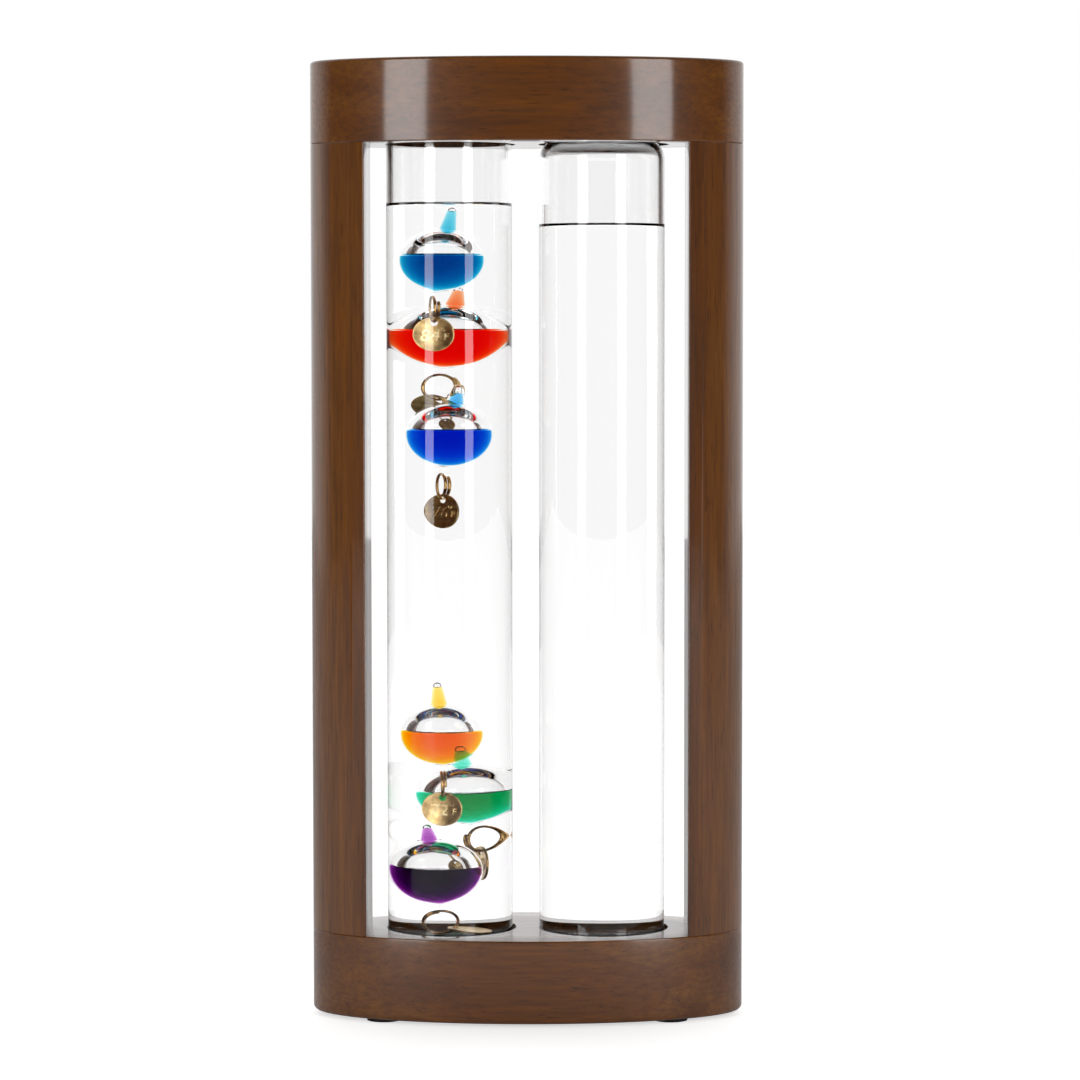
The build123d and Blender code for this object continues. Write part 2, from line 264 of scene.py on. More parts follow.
def wire_along(bm, points, radius, sides=16, end_steps=4):
    """A round wire along points in metres, with rounded ends."""
    frames = []
    normal = None
    for index, point in enumerate(points):
        ahead = points[min(index + 1, len(points) - 1)]
        behind = points[max(index - 1, 0)]
        tangent = (ahead - behind).normalized()
        if normal is None:
            normal = tangent.orthogonal().normalized()
        normal = (normal - tangent * normal.dot(tangent)).normalized()
        frames.append((point, tangent, normal, tangent.cross(normal)))
    start, end = [], []
    for step in range(end_steps):
        turn = math.radians(90 * step / end_steps)
        point, tangent, first, second = frames[0]
        start.append((point - tangent * radius * math.cos(turn), first, second, radius * math.sin(turn)))
        point, tangent, first, second = frames[-1]
        end.append((point + tangent * radius * math.cos(turn), first, second, radius * math.sin(turn)))
    middle = [(point, first, second, radius) for point, tangent, first, second in frames]
    rings = []
    for centre, first, second, size in start + middle + end[::-1]:
        if size < 1e-9:
            rings.append([bm.verts.new(centre)])
            continue
        ring = []
        for side in range(sides):
            turn = 2 * math.pi * side / sides
            ring.append(bm.verts.new(centre + (first * math.cos(turn) + second * math.sin(turn)) * size))
        rings.append(ring)
    skin(bm, rings)


def arc(centre, radius, start, end, steps):
    """Points of an arc in a profile, angles in degrees from the outward direction."""
    points = []
    for step in range(steps + 1):
        turn = math.radians(start + (end - start) * step / steps)
        points.append((centre[0] + radius * math.cos(turn), centre[1] + radius * math.sin(turn)))
    return points


def merge(bm, other, slot):
    """Moves another mesh into this one under a material slot."""
    mesh = bpy.data.meshes.new("part")
    for face in other.faces:
        face.material_index = slot
        face.smooth = True
    other.to_mesh(mesh)
    other.free()
    bm.from_mesh(mesh)
    bpy.data.meshes.remove(mesh)


def keep_side(bm, point, away):
    """Cuts a mesh by a plane and drops what lies on the side that away points to."""
    geometry = list(bm.verts) + list(bm.edges) + list(bm.faces)
    bmesh.ops.bisect_plane(bm, geom=geometry, plane_co=point, plane_no=away, clear_outer=True)


def ordered(edges):
    """The vertices of a closed loop of edges, in order from the first edge."""
    left = set(edges[1:])
    start, current = edges[0].verts
    loop = [start, current]
    while left:
        following = next(edge for edge in current.link_edges if edge in left)
        left.remove(following)
        current = following.other_vert(current)
        if current is not start:
            loop.append(current)
    return loop


def cut(obj, *tools):
    """Takes other objects out of one, and applies that to its mesh."""
    for tool in tools:
        boolean = obj.modifiers.new("cut", "BOOLEAN")
        boolean.operation = "DIFFERENCE"
        boolean.solver = "EXACT"
        boolean.object = tool
    graph = bpy.context.evaluated_depsgraph_get()
    mesh = bpy.data.meshes.new_from_object(obj.evaluated_get(graph))
    old = obj.data
    obj.modifiers.clear()
    obj.data = mesh
    bpy.data.meshes.remove(old)
    for tool in tools:
        bpy.data.objects.remove(tool)


def cutter(matrix, low, high, radius, segments):
    """A cylinder to cut with."""
    bm = bmesh.new()
    lathe(bm, [(0, low), (radius, low), (radius, high), (0, high)], segments, matrix)
    return new_object("cutter", bm, 0)


def turned(axis, degrees):
    return Matrix.Rotation(math.radians(degrees), 4, axis)


def shifted(x, y, z):
    return Matrix.Translation(mm(x, y, z))


def dress(obj, body, slot, nodes, *materials):
    """Gives a piece its materials, and puts it on a body in place of nodes of the CAD model."""
    for material in materials:
        obj.data.materials.append(material)
    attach(obj, body)
    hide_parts(*nodes)


# Material helpers
class Shader:
    """A node tree with one Principled shader."""

    def __init__(self, name):
        self.material = bpy.data.materials.new(name)
        self.material.use_nodes = True
        self.nodes = self.material.node_tree.nodes
        self.links = self.material.node_tree.links
        self.bsdf = self.nodes["Principled BSDF"]
        self.output = self.nodes["Material Output"]

    def set(self, **values):
        for name, value in values.items():
            self.bsdf.inputs[name.replace("_", " ")].default_value = value

    def to(self, name, value):
        self.links.new(value, self.bsdf.inputs[name])

    def place(self, scale=(1, 1, 1), rotation=(0, 0, 0), location=(0, 0, 0)):
        """Object coordinates, in metres, stretched by a scale."""
        coordinate = self.nodes.new("ShaderNodeTexCoord")
        mapping = self.nodes.new("ShaderNodeMapping")
        mapping.inputs["Scale"].default_value = scale
        mapping.inputs["Rotation"].default_value = rotation
        mapping.inputs["Location"].default_value = location
        self.links.new(coordinate.outputs["Object"], mapping.inputs["Vector"])
        return mapping.outputs["Vector"]

    def noise(self, vector, scale, detail=4.0, roughness=0.5, distortion=0.0):
        node = self.nodes.new("ShaderNodeTexNoise")
        self.links.new(vector, node.inputs["Vector"])
        node.inputs["Scale"].default_value = scale
        node.inputs["Detail"].default_value = detail
        node.inputs["Roughness"].default_value = roughness
        node.inputs["Distortion"].default_value = distortion
        return node.outputs["Fac"]

    def ramp(self, value, *stops):
        node = self.nodes.new("ShaderNodeValToRGB")
        elements = node.color_ramp.elements
        while len(elements) > 1:
            elements.remove(elements[-1])
        elements[0].position = stops[0][0]
        elements[0].color = (*stops[0][1], 1)
        for position, color in stops[1:]:
            element = elements.new(position)
            element.color = (*color, 1)
        self.links.new(value, node.inputs["Fac"])
        return node.outputs["Color"]

    def remap(self, value, low, high, to_low, to_high):
        node = self.nodes.new("ShaderNodeMapRange")
        self.links.new(value, node.inputs["Value"])
        node.inputs["From Min"].default_value = low
        node.inputs["From Max"].default_value = high
        node.inputs["To Min"].default_value = to_low
        node.inputs["To Max"].default_value = to_high
        return node.outputs["Result"]

    def feed(self, socket, value):
        if isinstance(value, bpy.types.NodeSocket):
            self.links.new(value, socket)
        else:
            socket.default_value = value

    def mix(self, factor, first, second):
        """Mixes two colours, each a socket or a linear colour."""
        node = self.nodes.new("ShaderNodeMix")
        node.data_type = "RGBA"
        self.links.new(factor, node.inputs[0])
        for socket, color in ((node.inputs[6], first), (node.inputs[7], second)):
            self.feed(socket, (*color, 1) if isinstance(color, tuple) else color)
        return node.outputs[2]

    def math(self, operation, first, second):
        node = self.nodes.new("ShaderNodeMath")
        node.operation = operation
        self.feed(node.inputs[0], first)
        self.feed(node.inputs[1], second)
        return node.outputs[0]

    def bump(self, height, distance, strength=1.0):
        node = self.nodes.new("ShaderNodeBump")
        node.inputs["Strength"].default_value = strength
        node.inputs["Distance"].default_value = distance
        self.links.new(height, node.inputs["Height"])
        self.to("Normal", node.outputs["Normal"])


def srgb(red, green, blue):
    """A colour given in 0 to 255 display values, as linear light."""
    values = []
    for value in (red, green, blue):
        value /= 255
        values.append(value / 12.92 if value <= 0.04045 else ((value + 0.055) / 1.055) ** 2.4)
    return tuple(values)


# Clear glass and liquids. Each surface carries the step in refraction across it.
def clear(name, ior, wave=0.0, wave_scale=60.0):
    shader = Shader(name)
    shader.set(Base_Color=(1, 1, 1, 1), Roughness=0.0, IOR=ior, Transmission_Weight=1.0)
    if wave:
        ripple = shader.noise(shader.place((1, 1, 0.4)), wave_scale, 2.0)
        shader.bump(ripple, wave)
    return shader.material


GLASS_OUTSIDE = clear("tube_glass", 1.46, 0.00004)
GLASS_STEP = clear("glass_liquid_step", 1.008, 0.00002)
GLOBE_STEP = clear("globe_glass", 1.02, 0.00003, 200.0)
AIR_SIDE = clear("air_pocket", 1.46, 0.00003, 120.0)
LIQUID_TOP = clear("liquid_surface", 1.46, 0.00001, 90.0)
LIQUID_SIDE = clear("liquid_side", 1.0)


def dye(name, per_mm):
    """A coloured liquid that takes up red, green and blue light by its thickness."""
    shader = Shader(name)
    shader.set(Base_Color=(1, 1, 1, 1), Roughness=0.0, IOR=1.0, Transmission_Weight=1.0)
    most = max(per_mm)
    volume = shader.nodes.new("ShaderNodeVolumeAbsorption")
    volume.inputs["Color"].default_value = (*[1 - value / most for value in per_mm], 1)
    volume.inputs["Density"].default_value = most / MM
    shader.links.new(volume.outputs[0], shader.output.inputs["Volume"])
    return shader.material


DYES = {
    "84": dye("dye_light_blue", (0.85, 0.19, 0.085)),
    "80": dye("dye_red", (0.02, 0.52, 0.90)),
    "76": dye("dye_blue", (0.85, 0.27, 0.045)),
    "72": dye("dye_amber", (0.016, 0.15, 0.90)),
    "68": dye("dye_green", (0.75, 0.10, 0.21)),
    "64": dye("dye_purple", (0.36, 0.95, 0.30)),
}


# Wood and other solid materials
def lacquered_wood(name, along, seed):
    """Dark stained wood under a clear lacquer, its grain along one axis."""
    shader = Shader(name)
    stretch = [1.0, 1.0, 1.0]
    stretch["XYZ".index(along)] = 0.045
    base = shader.place(tuple(stretch), (0.02, 0.03, 0.01), (seed, seed * 0.7, seed * 0.3))
    figure = shader.noise(base, 55, 3, 0.5, 0.6)
    fibre = shader.noise(base, 900, 6, 0.65)
    pores = shader.noise(base, 2600, 2, 0.5)
    color = shader.ramp(
        figure,
        (0.30, srgb(86, 44, 8)),
        (0.48, srgb(112, 62, 14)),
        (0.60, srgb(122, 72, 20)),
        (0.72, srgb(100, 54, 12)),
    )
    color = shader.mix(shader.remap(fibre, 0.35, 0.7, 0.0, 0.65), color, srgb(58, 33, 13))
    color = shader.mix(shader.remap(pores, 0.62, 0.72, 0.0, 0.7), color, srgb(40, 22, 9))
    shader.to("Base Color", color)
    shader.to("Roughness", shader.remap(fibre, 0.3, 0.7, 0.34, 0.48))
    shader.bump(pores, 0.00003, 0.6)
    shader.set(Specular_IOR_Level=0.2, Coat_Weight=1.0, Coat_Roughness=0.1)
    return shader.material


def dull(name, light, dark, scale, roughness):
    """A matt material of two tones with a fine grain."""
    shader = Shader(name)
    grain = shader.noise(shader.place((1, 1, 0.15)), scale, 5, 0.6)
    shader.to("Base Color", shader.mix(shader.remap(grain, 0.3, 0.7, 0, 1), light, dark))
    shader.to("Roughness", shader.remap(grain, 0.3, 0.7, roughness, roughness + 0.2))
    shader.bump(grain, 0.0001, 0.5)
    return shader.material


def brass(name, light, dark, roughness, scratch):
    """Brass of two tones in patches, finely scratched."""
    shader = Shader(name)
    shader.set(Metallic=1.0)
    vector = shader.place()
    patina = shader.noise(vector, 420, 4, 0.6)
    fine = shader.noise(vector, 2400, 4, 0.7)
    shader.to("Base Color", shader.mix(shader.remap(patina, 0.35, 0.65, 0, 1), light, dark))
    shader.to("Roughness", shader.remap(fine, 0.3, 0.7, roughness, roughness + 0.16))
    shader.bump(fine, scratch, 0.8)
    return shader.material


TOP_WOOD = lacquered_wood("top_block_wood", "X", 1.3)
BOTTOM_WOOD = lacquered_wood("bottom_block_wood", "X", 4.1)
LEFT_WOOD = lacquered_wood("left_stile_wood", "Z", 2.2)
RIGHT_WOOD = lacquered_wood("right_stile_wood", "Z", 7.7)
DOWEL_WOOD = dull("dowel_wood", srgb(176, 140, 96), srgb(140, 102, 64), 500, 0.6)
CORK = dull("cork", srgb(178, 130, 84), srgb(112, 74, 44), 1400, 0.8)
FOAM = dull("foam", srgb(52, 52, 54), srgb(30, 30, 32), 2500, 0.85)
FELT = dull("felt", srgb(46, 42, 40), srgb(26, 24, 23), 3500, 0.9)
WIRE = brass("ring_wire", srgb(214, 176, 118), srgb(150, 112, 70), 0.16, 0.00001)
TAG = brass("tag_brass", srgb(226, 196, 138), srgb(170, 134, 84), 0.26, 0.00004)
# The numerals' brass is lighter than the tag's: a painted highlight that makes the raised numbers stand out
NUMERAL_PAINTED_HIGHLIGHT = brass("tag_numerals_painted_highlight", srgb(240, 222, 176), srgb(206, 176, 122), 0.2, 0.00001)


# Wooden frame
def ellipse_ring(bm, inset, height):
    """The frame's outline at a height, drawn in by an inset."""
    ring = []
    for index in range(BLOCK_SEGMENTS):
        turn = 2 * math.pi * index / BLOCK_SEGMENTS
        x, y = FRAME_A * math.cos(turn), FRAME_B * math.sin(turn)
        normal = Vector((x / FRAME_A**2, y / FRAME_B**2)).normalized()
        ring.append(bm.verts.new(mm(x - inset * normal.x, y - inset * normal.y, height)))
    return ring


def bow_block(name, low, high, round_low, round_high, bore_low, bore_high, edge_steps=6, sharp=30):
    """An elliptical block with rounded edges, and with a bore for each tube."""
    bm = bmesh.new()
    rings = []
    for step in range(edge_steps + 1):
        turn = math.radians(90 * step / edge_steps)
        height = low + round_low * (1 - math.cos(turn))
        rings.append(ellipse_ring(bm, round_low * (1 - math.sin(turn)), height))
    for step in range(edge_steps + 1):
        turn = math.radians(90 * step / edge_steps)
        height = high - round_high * (1 - math.sin(turn))
        rings.append(ellipse_ring(bm, round_high * (1 - math.cos(turn)), height))
    prism(bm, rings)
    block = new_object(name, bm, sharp)
    bores = []
    for side in (-1, 1):
        at = shifted(side * SOCKET_X, 0, 0)
        bores.append(cutter(at, bore_low, bore_high, SOCKET_RADIUS, SOCKET_SEGMENTS))
    cut(block, *bores)
    smooth(block, sharp)
    return block


def stile_outline(curve_steps=80, corner_steps=4):
    """The right upright's section: a slice of the ellipse, with small rounds along the window."""
    outline = []
    limit = math.acos(WINDOW_HALF / FRAME_A)
    for step in range(curve_steps + 1):
        turn = -limit + 2 * limit * step / curve_steps
        outline.append((FRAME_A * math.cos(turn), FRAME_B * math.sin(turn)))
    depth = outline[-1][1]
    corner_x = WINDOW_HALF + ARRIS
    corner_y = FRAME_B * math.sin(math.acos(corner_x / FRAME_A))
    outline[0] = (corner_x, -corner_y)
    outline[-1] = (corner_x, corner_y)
    round_y = depth - ARRIS * 1.2
    outline += arc((corner_x, round_y), ARRIS, 90, 180, corner_steps)
    outline += arc((corner_x, -round_y), ARRIS, 180, 270, corner_steps)
    return outline


def stile(name, side, bevel=0.12, sharp=35):
    """An upright with fine bevels at its ends."""
    outline = stile_outline()
    if side < 0:
        outline = [(-x, y) for x, y in reversed(outline)]
    centre = side * (WINDOW_HALF + FRAME_A) / 2
    levels = ((bevel, FLOOR), (0.0, FLOOR + bevel), (0.0, CEILING - bevel), (bevel, CEILING))
    bm = bmesh.new()
    rings = []
    for shrink, height in levels:
        ring = []
        for x, y in outline:
            away = Vector((x - centre, y))
            away -= away.normalized() * shrink
            ring.append(bm.verts.new(mm(centre + away.x, away.y, height)))
        rings.append(ring)
    prism(bm, rings)
    return new_object(name, bm, sharp)


# Glass tubes and the liquid in them. The shoulder turns by an angle in degrees, and the crown does the rest.
SHOULDER_TURN = 78


def tube_profile(radius, bottom, top, foot, shoulder, crown, round_steps=10, wall_steps=12, crown_steps=8):
    """The outline of a closed tube from the middle of its foot to the middle of its crown."""
    points = [(0, bottom), (radius * 0.5, bottom)]
    points += arc((radius - foot, bottom + foot), foot, -90, 0, round_steps)
    wall_top = top - crown - shoulder
    for step in range(1, wall_steps):
        points.append((radius, bottom + foot + (wall_top - bottom - foot) * step / wall_steps))
    points += arc((radius - shoulder, wall_top), shoulder, 0, SHOULDER_TURN, round_steps)
    last_radius, last_height = points[-1]
    for step in range(1, crown_steps + 1):
        share = step / crown_steps
        height = last_height + (top - last_height) * math.sin(share * math.pi / 2)
        points.append((last_radius * (1 - share), height))
    return points


def glass_tube(name, low, high, level):
    """A tube, its inner wall parted where the liquid ends."""
    x = (low.x + high.x) / 2 / MM
    radius = (high.x - low.x) / 2 / MM
    bottom, top = low.z / MM, high.z / MM
    at = shifted(x, 0, 0)
    bm = bmesh.new()
    outer = tube_profile(radius, bottom, top, TUBE_FOOT, TUBE_SHOULDER, TUBE_CROWN)
    lathe(bm, outer, TUBE_SEGMENTS, at)
    inner_shoulder = TUBE_SHOULDER - TUBE_WALL
    inner = tube_profile(
        BORE_RADIUS, bottom + TUBE_BASE, top - TUBE_WALL, TUBE_INNER_FOOT, inner_shoulder, TUBE_CROWN
    )
    wet = [point for point in inner if point[1] <= level]
    dry = [point for point in inner if point[1] > level]
    edge = (BORE_RADIUS, level)
    lathe(bm, wet + [edge], TUBE_SEGMENTS, at, True, 1)
    lathe(bm, [edge] + dry, TUBE_SEGMENTS, at, True, 0)
    bmesh.ops.remove_doubles(bm, verts=bm.verts, dist=1e-7)
    return new_object(name, bm, 0)


def liquid(name, low, high, level, surface_steps=24):
    """The liquid, its surface drawn up a little where it meets the glass."""
    x = (low.x + high.x) / 2 / MM
    bottom = low.z / MM + TUBE_BASE + LIQUID_CLEARANCE
    radius = BORE_RADIUS - LIQUID_CLEARANCE
    # Only what lies below the level is kept of this outline
    inner = tube_profile(radius, bottom, level + 60, TUBE_INNER_FOOT, 4.0, 1.0)
    sides = [point for point in inner if point[1] < level - 1]
    rim = (radius, level + MENISCUS)
    surface = [rim]
    for step in range(1, surface_steps + 1):
        across = MENISCUS_REACH * (step / surface_steps) ** MENISCUS_CROWDING
        surface.append((radius - across, level + MENISCUS * math.exp(-across / MENISCUS_SPREAD)))
    surface.append((0, level))
    at = shifted(x, 0, 0)
    bm = bmesh.new()
    lathe(bm, sides + [rim], TUBE_SEGMENTS, at, False, 1)
    lathe(bm, surface, TUBE_SEGMENTS, at, False, 0)
    bmesh.ops.remove_doubles(bm, verts=bm.verts, dist=1e-7)
    return new_object(name, bm, RIM_SHARP_ANGLE)


# Globes. How each lies: angles in degrees, as in the CAD model, which gives the joints' places.
# fill is the dye's level over the middle, tip how far the drawn-out bottom reaches, in radii, and
# bubble the height of the air in the neck.
Globe = namedtuple("Globe", (
    "number radius neck lean_right lean_back fill ring_bearing ring_roll ring_tilt seam "
    "tag_bearing tag_roll tag_tilt tip bubble"
))
GLOBES = [
    Globe("84", 8.6, 6.9, 8.5, 6, 1.2, 75, 26, 0, 14, -25, 0, 0, 1.12, 1.1),
    Globe("80", 8.8, 5.6, 7.5, 0, 1.5, 37, 0, 5, 0, -47, 22, 27, 1.08, 1.1),
    Globe("76", 8.9, 5.6, 8.5, 0, 1.2, 72, 0, 0, 0, -44, 0, 0, 1.04, 2.2),
    Globe("64", 9.0, 5.0, -7, 0, 0.7, -10, 0, -34, 150, -100, 0, 80, 1.09, 1.2),
    Globe("68", 8.3, 6.3, -6, 8, 0.3, 54, -43, 0, 160, -64, 0, 0, 1.09, 1.5),
    Globe("72", 8.5, 7.0, -3, 9, 0.7, 91, 22, 0, 160, -25, 0, 0, 1.08, 1.5),
]
JOINTS = {joint["name"]: Vector(joint["pos_m"]) for joint in frame["joints"] if "swing" in joint["name"]}

# The dye in a neck narrows from a height over the root to one below the neck's top
TAPER_START = 0.9
TAPER_END_DROP = 1

# The air below a neck and the dye in it, at the root, as (radius, height over the root)
AIR_ROOT = ((1.15, 0.15), (0.6, -0.15), (0, -0.25))
DYE_ROOT = ((0, -0.2), (0.6, -0.1), (1.2, 0.2), (1.72, 0.35), (NECK_BASE, TAPER_START))

# The end of the dye in a neck and the underside of the bubble, as (radius, height over the bubble's edge)
DYE_END = ((0.5, 0.2), (0, 0.3))
BUBBLE_UNDERSIDE = ((0, 0.25), (NECK_TIP_INSIDE * 0.55, 0.18), (NECK_TIP_INSIDE, 0))

# Where the air over the dye starts to be drawn, as an angle on the bulb
DOME_START = -60


def globe_profile(radius, tip, neck_base, neck_tip, neck_top, sphere_steps=28):
    """The outline of a globe, from its pointed bottom to the rounded end of its neck."""
    low = radius * tip
    meet = math.asin(min(1.0, radius / low))
    points = [(0, -low + POINT_LOW), (POINT_RADIUS, -low + POINT_HIGH)]
    tangent_x, tangent_z = radius * math.cos(meet), -radius * math.sin(meet)
    for share in (0.25, 0.5, 0.75, 1.0):
        reach = POINT_RADIUS + (tangent_x - POINT_RADIUS) * share
        points.append((reach, -low + POINT_HIGH + (tangent_z + low - POINT_HIGH) * share))
    flare_x = neck_base + NECK_FLARE
    flare_z = math.sqrt((radius + NECK_FLARE) ** 2 - flare_x**2)
    root = math.degrees(math.atan2(flare_z, flare_x))
    points += arc((0, 0), radius, -math.degrees(meet), root, sphere_steps)[1:]
    points += arc((flare_x, flare_z), NECK_FLARE, root - 180, -180, 8)[1:]
    shoulder = neck_top - neck_tip
    points.append((neck_tip, shoulder))
    points += arc((0, shoulder), neck_tip, 0, 90, 7)[1:]
    points[-1] = (0, neck_top)
    return points


def root_height(globe):
    """The height over the centre at which the neck's bore leaves the sphere."""
    return math.sqrt(globe.radius**2 - NECK_BASE**2)


def add_pocket(bm, globe, place, level, dome_steps=60, surface_steps=16):
    """The air over a globe's dye: a dome, closed below by the dye's surface with its drawn-up rim."""
    dome = bmesh.new()
    dome_end = math.degrees(math.acos(NECK_BASE / globe.radius))
    profile = arc((0, 0), globe.radius, DOME_START, dome_end, dome_steps)
    profile += [(radius, root_height(globe) + height) for radius, height in AIR_ROOT]
    lathe(dome, profile, GLOBE_SEGMENTS, place)
    bmesh.ops.recalc_face_normals(dome, faces=dome.faces)
    rim_height = level + DYE_MENISCUS * MM
    keep_side(dome, Vector((0, 0, rim_height)), Vector((0, 0, -1)))
    rim = [
        edge for edge in dome.edges if edge.is_boundary and abs(edge.verts[0].co.z - rim_height) < 1e-6
    ]
    previous = ordered(rim)
    outer = [vert.co.copy() for vert in previous]
    centre = sum(outer, Vector()) / len(outer)
    rim_radius = (outer[0] - centre).length
    for step in range(1, surface_steps + 1):
        share = (step / surface_steps) ** DYE_MENISCUS_CROWDING
        across = DYE_MENISCUS_REACH_SHARE * rim_radius * share
        height = level + DYE_MENISCUS * MM * math.exp(-across / (DYE_MENISCUS_SPREAD * MM))
        ring = []
        for co in outer:
            inward = centre + (co - centre) * (1 - across / rim_radius)
            ring.append(dome.verts.new((inward.x, inward.y, height)))
        for index in range(len(ring)):
            following = (index + 1) % len(ring)
            dome.faces.new([previous[index], previous[following], ring[following], ring[index]])
        previous = ring
    dome.faces.new(previous)
    bmesh.ops.recalc_face_normals(dome, faces=dome.faces)
    bmesh.ops.reverse_faces(dome, faces=dome.faces)
    merge(bm, dome, 1)


def add_bubble(bm, globe, place):
    """The small pocket of air at the end of a neck."""
    top = globe.radius + globe.neck - BUBBLE_GAP
    low = top - globe.bubble
    profile = [(radius, low + height) for radius, height in BUBBLE_UNDERSIDE]
    profile += arc((0, top - NECK_TIP_INSIDE), NECK_TIP_INSIDE, 0, 90, 8)
    profile[-1] = (0, top)
    lathe(bm, profile, SMALL_SEGMENTS, place, True, 1)


def globe_glass(globe, place, level):
    """A globe's outside, its eye, and the surfaces of the air that it holds."""
    bm = bmesh.new()
    neck_top = globe.radius + globe.neck + NECK_GLASS
    outside = globe_profile(
        globe.radius + GLOBE_WALL, globe.tip, NECK_BASE + NECK_GLASS, NECK_TIP_OUTSIDE, neck_top
    )
    lathe(bm, outside, GLOBE_SEGMENTS, place)
    eye = bmesh.new()
    eye_turn = turned("Z", globe.ring_bearing) @ turned("Y", 90 + globe.ring_roll / 2)
    torus(eye, place @ shifted(0, 0, -globe.radius - EYE_DROP + EYE_SLACK) @ eye_turn, EYE_RADIUS, EYE_WIRE)
    merge(bm, eye, 0)
    add_pocket(bm, globe, place, level)
    add_bubble(bm, globe, place)
    obj = new_object(f"blown_globe_{globe.number}", bm, RIM_SHARP_ANGLE)
    dress(obj, f"globe_{globe.number}", "glass", [f"globe_{globe.number}"], GLOBE_STEP, AIR_SIDE)


def globe_dye(globe, place, level):
    """The dye in the bulb, up to just under its level, and the dye in the neck."""
    neck_top = globe.radius + globe.neck
    inside = globe_profile(
        globe.radius - DYE_CLEARANCE, globe.tip, NECK_BASE - DYE_CLEARANCE, NECK_TIP_INSIDE, neck_top
    )
    bulb = bmesh.new()
    lathe(bulb, inside, GLOBE_SEGMENTS, place)
    keep_side(bulb, Vector((0, 0, level - DYE_CLEARANCE * MM)), Vector((0, 0, 1)))
    rim = [edge for edge in bulb.edges if edge.is_boundary]
    bmesh.ops.contextual_create(bulb, geom=rim)
    bmesh.ops.recalc_face_normals(bulb, faces=bulb.faces)
    bm = bmesh.new()
    merge(bm, bulb, 0)
    root = root_height(globe)
    stem = [(radius, root + height) for radius, height in DYE_ROOT]
    low = neck_top - BUBBLE_GAP - globe.bubble
    share = (low - root - TAPER_START) / (neck_top - TAPER_END_DROP - root - TAPER_START)
    stem.append((NECK_BASE + (NECK_TIP_INSIDE - NECK_BASE) * share, low - DYE_CLEARANCE))
    stem += [(radius, low + height) for radius, height in DYE_END]
    lathe(bm, stem, SMALL_SEGMENTS, place)
    obj = new_object(f"coloured_liquid_{globe.number}", bm, 0)
    slot = f"dye_{globe.number}"
    dress(obj, f"globe_{globe.number}", slot, [f"dye_{globe.number}"], DYES[globe.number])


# Rings and tags
def wire_offset(seam, angle):
    """How far the ring's wire lies from the ring's middle plane at an angle round the ring."""
    after_seam = (angle - seam + 180 * (RING_TURNS - 1)) % 360
    return RING_PITCH * (RING_TURNS / 2 - after_seam / 360)


def wire_ring(globe, eye):
    """A ring of wire of more than one turn, its top in the globe's eye."""
    upright = Matrix.Translation(eye) @ turned("Z", globe.ring_bearing) @ turned("X", globe.ring_tilt)
    hung = shifted(0, -wire_offset(globe.seam, 90), -RING_RADIUS)
    ring = upright @ turned("Y", globe.ring_roll) @ hung
    start = globe.seam - 180 * (RING_TURNS - 1)
    points = []
    for step in range(RING_STEPS + 1):
        swept = 360 * RING_TURNS * step / RING_STEPS
        turn = math.radians(start + swept)
        along = RING_PITCH * (RING_TURNS / 2 - swept / 360)
        points.append(ring @ mm(RING_RADIUS * math.cos(turn), along, RING_RADIUS * math.sin(turn)))
    bm = bmesh.new()
    wire_along(bm, points, RING_WIRE * MM)
    obj = new_object(f"wire_ring_{globe.number}", bm, 0)
    dress(obj, f"ring_{globe.number}", "wire", [f"ring_{globe.number}"], WIRE)


def add_text(bm, text, size, at):
    """Raised letters, under the second material."""
    curve = bpy.data.curves.new("numerals", "FONT")
    curve.body = text
    curve.size = size * MM
    curve.shear = SLANT
    curve.align_x = "CENTER"
    curve.align_y = "CENTER"
    curve.extrude = RELIEF * MM
    curve.bevel_depth = RELIEF_EDGE * MM
    curve.bevel_resolution = 2
    obj = bpy.data.objects.new("numerals", curve)
    scene.collection.objects.link(obj)
    graph = bpy.context.evaluated_depsgraph_get()
    mesh = bpy.data.meshes.new_from_object(obj.evaluated_get(graph))
    bpy.data.objects.remove(obj)
    mesh.transform(at)
    start = len(bm.faces)
    bm.from_mesh(mesh)
    bpy.data.meshes.remove(mesh)
    under_second(bm, start)


def under_second(bm, start):
    """Puts the faces from an index on under the second material."""
    bm.faces.ensure_lookup_table()
    for index in range(start, len(bm.faces)):
        bm.faces[index].material_index = 1


